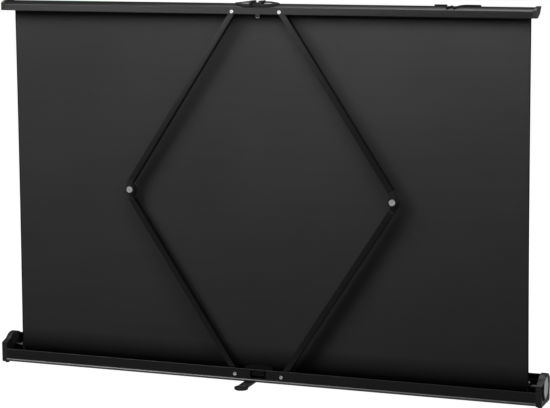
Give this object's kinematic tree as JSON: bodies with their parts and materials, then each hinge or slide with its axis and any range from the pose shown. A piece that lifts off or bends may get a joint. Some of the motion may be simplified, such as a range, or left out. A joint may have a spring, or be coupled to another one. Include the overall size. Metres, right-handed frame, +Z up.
{
  "type": "tabletop projection screen",
  "caption": "Portable tabletop projection screen: low roller case, folding scissor arms and a top bar that pulls a wide screen up and lies over the case when folded.",
  "frame": {"origin": "on the table, under the middle of the case's length and depth", "axes": "+X along the case to the viewer's left when seen from behind, +Y to the back of the screen, +Z up; the projection side faces -Y"},
  "size_m": [1.2057, 0.1334, 0.796],
  "materials": {
    "black_extrusion": "black powder-coated extrusion",
    "bar_extrusion": "dark grey anodised extrusion",
    "arm_tube": "dark grey anodised tube",
    "cap_plastic": "moulded plastic, fine texture",
    "black_plastic": "moulded black plastic",
    "silver_plate": "satin silver",
    "steel": "bright zinc plate",
    "rivet_white": "white enamel over steel",
    "spring_steel": "drawn wire",
    "bearing_plastic": "natural acetal",
    "rubber": "moulded rubber",
    "screen_fabric": "black-backed projection fabric",
    "roller_tube": "mill finish"
  },
  "bodies": {
    "case": {"case_housing": "black_extrusion", "end_cap_left": "cap_plastic", "end_cap_right": "cap_plastic", "end_cap_screws": "steel", "rubber_feet": "rubber", "end_disc": "black_plastic", "end_disc_plate": "silver_plate", "roller_bush": "bearing_plastic", "spring_arbor": "steel", "roller_spring": "spring_steel", "latch_catch": "black_plastic", "latch_spring": "spring_steel", "lower_rivets": "rivet_white", "foot_pivot_pin": "steel", "foot_pivot_washer": "steel", "screen_sheet": "screen_fabric"},
    "roller": {"roller_tube": "roller_tube", "roller_plug_left": "black_plastic", "roller_plug_right": "black_plastic", "roller_axle": "steel", "wound_fabric": "screen_fabric"},
    "foot": {"foot_lever": "black_plastic", "foot_pad": "rubber"},
    "latch": {"latch_slider": "black_plastic"},
    "arm_lower_left": {"lower_arm_left": "arm_tube", "lower_knuckle_left": "black_plastic", "elbow_bolt_left": "steel", "elbow_nut_left": "steel", "elbow_washer_left": "bearing_plastic"},
    "arm_lower_right": {"lower_arm_right": "arm_tube", "lower_knuckle_right": "black_plastic", "elbow_bolt_right": "steel", "elbow_nut_right": "steel", "elbow_washer_right": "bearing_plastic"},
    "arm_upper_left": {"upper_arm_left": "arm_tube", "upper_knuckle_left": "black_plastic"},
    "arm_upper_right": {"upper_arm_right": "arm_tube", "upper_knuckle_right": "black_plastic"},
    "top_bar": {"top_bar_housing": "bar_extrusion", "top_bar_hood": "bar_extrusion", "top_cap_left": "cap_plastic", "top_cap_right": "cap_plastic", "upper_rivets": "rivet_white", "hem_rod": "steel", "latch_tongue": "steel", "handle_base": "black_plastic", "handle_screw": "steel", "handle_pins": "steel", "wire_clip": "black_plastic"},
    "grip_left": {"grip_loop_left": "black_plastic"},
    "grip_right": {"grip_loop_right": "black_plastic"}
  },
  "joints": [
    {"name": "screen_fold", "type": "hinge", "parent": "case", "child": "arm_lower_left", "pos_m": [0.0515, 0.0235, 0.0198], "axis": [0, 1, 0], "range_deg": [0, 56.6], "deforming": ["screen_sheet"]},
    {"name": "elbow_left", "type": "hinge", "parent": "arm_lower_left", "child": "arm_upper_left", "pos_m": [0.28884, 0.0235, 0.39669], "axis": [0, 1, 0], "range_deg": [-113.2, 0]},
    {"name": "bar_pivot_left", "type": "hinge", "parent": "arm_upper_left", "child": "top_bar", "pos_m": [0.0515, 0.0235, 0.77359], "axis": [0, 1, 0], "range_deg": [0, 56.6]},
    {"name": "case_pivot_right", "type": "hinge", "parent": "case", "child": "arm_lower_right", "pos_m": [-0.0515, 0.0235, 0.0198], "axis": [0, 1, 0], "range_deg": [-56.6, 0]},
    {"name": "elbow_right", "type": "hinge", "parent": "arm_lower_right", "child": "arm_upper_right", "pos_m": [-0.28884, 0.0235, 0.39669], "axis": [0, 1, 0], "range_deg": [0, 113.2]},
    {"name": "roller_turn", "type": "hinge", "parent": "case", "child": "roller", "pos_m": [0, -0.006, 0.034], "axis": [1, 0, 0], "continuous": true},
    {"name": "foot_swivel", "type": "hinge", "parent": "case", "child": "foot", "pos_m": [0.022, 0.004, 0.0031], "axis": [0, 0, 1], "range_deg": [-85, 0]},
    {"name": "latch_slide", "type": "slide", "parent": "case", "child": "latch", "axis": [0, 0, -1], "range_m": [0, 0.0035], "stiffness_N_per_m": 400, "deforming": ["latch_spring"]},
    {"name": "grip_left_hinge", "type": "hinge", "parent": "top_bar", "child": "grip_left", "pos_m": [0.01175, 0.02, 0.79279], "axis": [0, -1, 0], "range_deg": [0, 75]},
    {"name": "grip_right_hinge", "type": "hinge", "parent": "top_bar", "child": "grip_right", "pos_m": [-0.00875, 0.02, 0.79279], "axis": [0, 1, 0], "range_deg": [0, 75]}
  ],
  "couplings": [
    {"joint": "elbow_left", "follows": "screen_fold", "ratio": -2},
    {"joint": "bar_pivot_left", "follows": "screen_fold", "ratio": 1},
    {"joint": "case_pivot_right", "follows": "screen_fold", "ratio": -1},
    {"joint": "elbow_right", "follows": "screen_fold", "ratio": 2}
  ]
}
